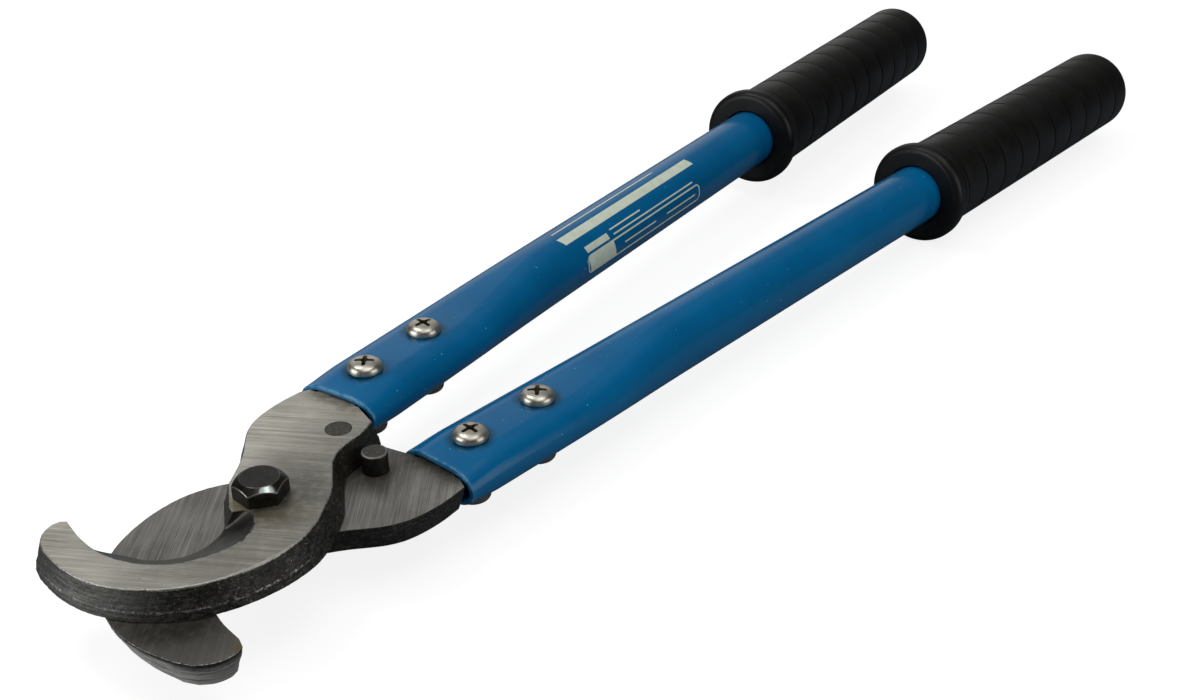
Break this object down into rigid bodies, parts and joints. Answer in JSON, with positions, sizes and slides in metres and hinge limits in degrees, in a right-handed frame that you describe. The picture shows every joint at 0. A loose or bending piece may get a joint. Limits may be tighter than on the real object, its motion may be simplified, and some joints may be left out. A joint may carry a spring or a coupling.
{
  "type": "two-hand cable cutter",
  "caption": "Two-handed cable cutter with crossing hooked shear blades on one pivot bolt, oval-to-round tube handles and long ringed rubber grips.",
  "frame": {"origin": "on the pivot bolt's axis, at the flat top of its head; the shear plane between the blades is 13.5 mm below", "axes": "+X from the pivot to the handles, +Z along the pivot axis out of the bolt's head, +Y to the upper blade's handle"},
  "size_m": [0.5132, 0.1332, 0.0448],
  "materials": {
    "ground_steel": "ground faces, black forged sides",
    "black_steel": "black oxide",
    "bright_zinc": "bright zinc or nickel plate",
    "blue_paint": "gloss",
    "black_rubber": "semi-gloss"
  },
  "bodies": {
    "lower_half": {"lower_blade": "ground_steel", "lower_stop_pin": "black_steel", "pivot_bolt": "black_steel", "pivot_washer": "black_steel", "pivot_nut": "black_steel", "lower_handle_tube": "blue_paint", "lower_front_screw": "bright_zinc", "lower_rear_screw": "bright_zinc", "lower_front_sleeve_nut": "bright_zinc", "lower_rear_sleeve_nut": "bright_zinc", "lower_grip": "black_rubber"},
    "upper_half": {"upper_blade": "ground_steel", "upper_stop_pin": "black_steel", "upper_handle_tube": "blue_paint", "upper_front_screw": "bright_zinc", "upper_rear_screw": "bright_zinc", "upper_front_sleeve_nut": "bright_zinc", "upper_rear_sleeve_nut": "bright_zinc", "upper_grip": "black_rubber"}
  },
  "joints": [
    {"name": "pivot", "type": "hinge", "parent": "lower_half", "child": "upper_half", "pos_m": [0, 0, -0.0135], "axis": [0, 0, 1], "range_deg": [0, 112]}
  ]
}
